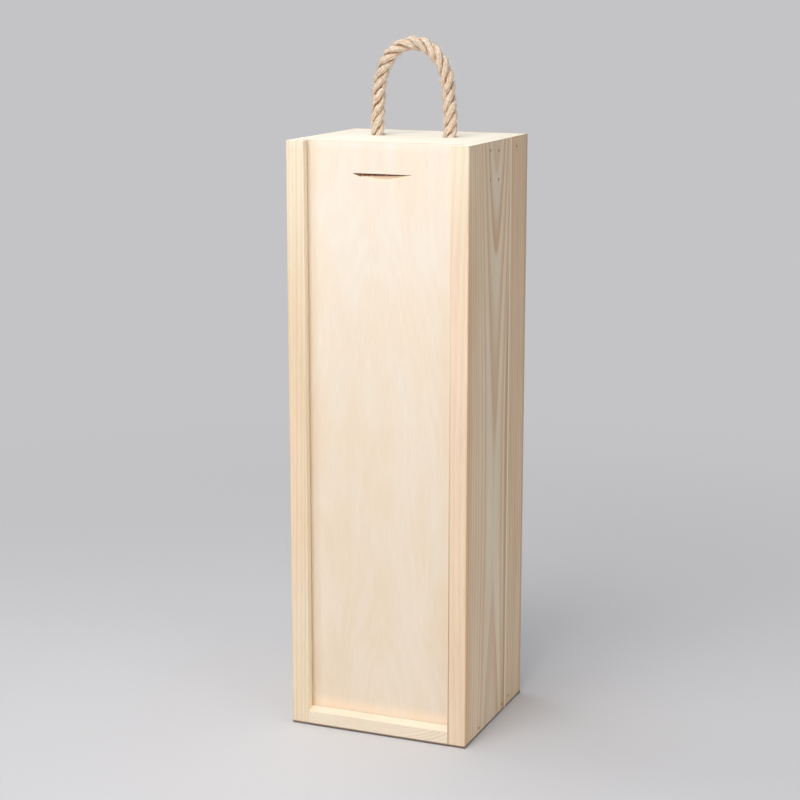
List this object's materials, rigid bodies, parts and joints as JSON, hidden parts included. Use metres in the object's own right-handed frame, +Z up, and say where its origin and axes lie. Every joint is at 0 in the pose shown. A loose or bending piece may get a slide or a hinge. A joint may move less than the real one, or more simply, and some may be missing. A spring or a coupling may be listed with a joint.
{
  "type": "wooden wine box",
  "caption": "Tall unfinished softwood box for a bottle, with a sliding plywood lid in grooves, a thumb notch, a nailed plywood back and a knotted rope handle.",
  "frame": {"origin": "middle of the underside, on the surface that the box stands on", "axes": "+Z up along the box, -Y out through the sliding lid, +X to the right of someone facing the lid"},
  "size_m": [0.111, 0.1, 0.4075],
  "materials": {
    "pine": "planed and sanded softwood, unfinished",
    "plywood": "sanded pale plywood, unfinished",
    "jute_rope": "three-strand jute rope, slightly fuzzy",
    "nail_steel": "dull bright steel brads"
  },
  "bodies": {
    "box": {"side_left": "pine", "side_right": "pine", "top_board": "pine", "bottom_board": "pine", "back_panel": "plywood", "handle_batten": "pine", "rope_end_left": "jute_rope", "rope_end_right": "jute_rope", "nails_top_left": "nail_steel", "nails_top_right": "nail_steel", "nails_batten_left": "nail_steel", "nails_batten_right": "nail_steel", "nails_bottom_left": "nail_steel", "nails_bottom_right": "nail_steel", "nails_back_long": "nail_steel", "nails_back_short": "nail_steel"},
    "lid": {"lid": "plywood"},
    "handle": {"rope_loop": "jute_rope"}
  },
  "joints": [
    {"name": "lid_slide", "type": "slide", "parent": "box", "child": "lid", "axis": [0, 0, 1], "range_m": [0, 0.35]},
    {"name": "handle_lean", "type": "hinge", "parent": "box", "child": "handle", "pos_m": [0, 0.007, 0.356], "axis": [1, 0, 0], "range_deg": [-75, 50], "stiffness_Nm_per_rad": 0.03, "deforming": ["rope_loop"]}
  ]
}
